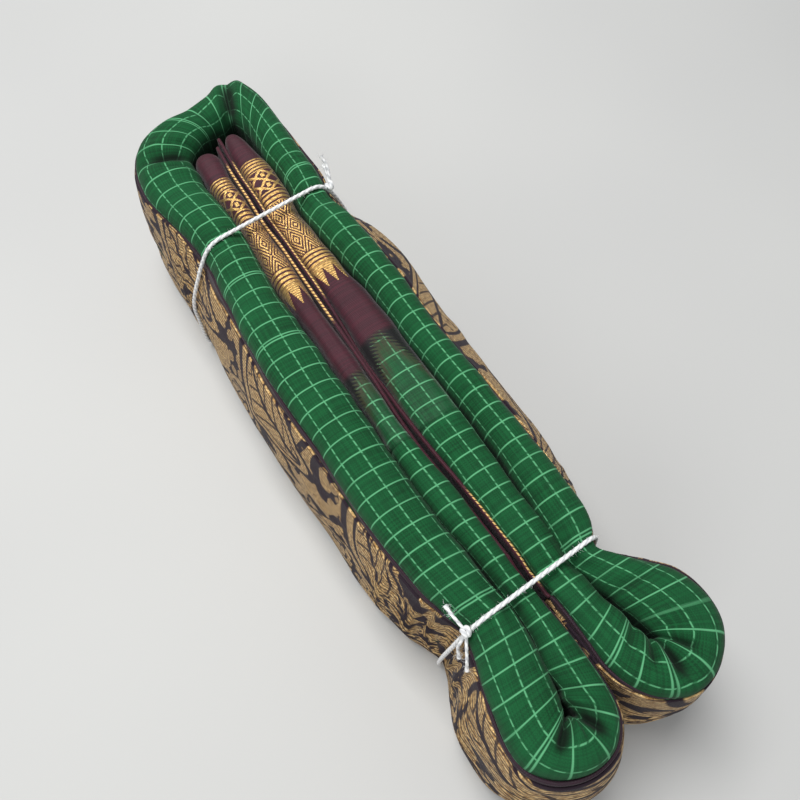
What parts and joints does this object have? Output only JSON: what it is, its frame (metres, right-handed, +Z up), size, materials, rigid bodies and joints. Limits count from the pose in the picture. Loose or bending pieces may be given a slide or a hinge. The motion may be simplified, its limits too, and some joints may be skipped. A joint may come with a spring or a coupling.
{
  "type": "folded cotton sari tied in a bundle",
  "caption": "Cotton sari folded into a long standing strip, doubled over with round loops and tied with string.",
  "frame": {"origin": "on the surface the bundle rests on, under the middle of its bounding box", "axes": "+X along the bundle towards the two round loops, +Z up"},
  "size_m": [0.3324, 0.101, 0.0852],
  "materials": {
    "checked_cotton": "deep green plain-weave cotton with thin pale green check lines",
    "border_weave": "maroon satin-faced border with gold thread bands",
    "end_piece_brocade": "aubergine cotton with figured gold thread brocade",
    "white_string": "soft white twisted cotton string"
  },
  "bodies": {
    "root": {"body_far_turn": "checked_cotton", "body_inner_left": "checked_cotton", "body_inner_right": "checked_cotton", "body_left_loop": "checked_cotton", "body_outer_left": "checked_cotton", "body_outer_right": "checked_cotton", "body_right_loop": "checked_cotton", "border_inner_left": "border_weave", "border_inner_right": "border_weave", "pallu_far_turn": "end_piece_brocade", "pallu_inner_left": "end_piece_brocade", "pallu_inner_right": "end_piece_brocade", "pallu_left_loop": "end_piece_brocade", "pallu_outer_left": "end_piece_brocade", "pallu_outer_right": "end_piece_brocade", "pallu_right_loop": "end_piece_brocade", "tie_far": "white_string", "tie_near": "white_string", "knot_far": "white_string", "knot_near": "white_string", "tail_far_1": "white_string", "tail_far_2": "white_string", "tail_near_1": "white_string", "tail_near_2": "white_string", "tail_near_3": "white_string"}
  },
  "joints": []
}
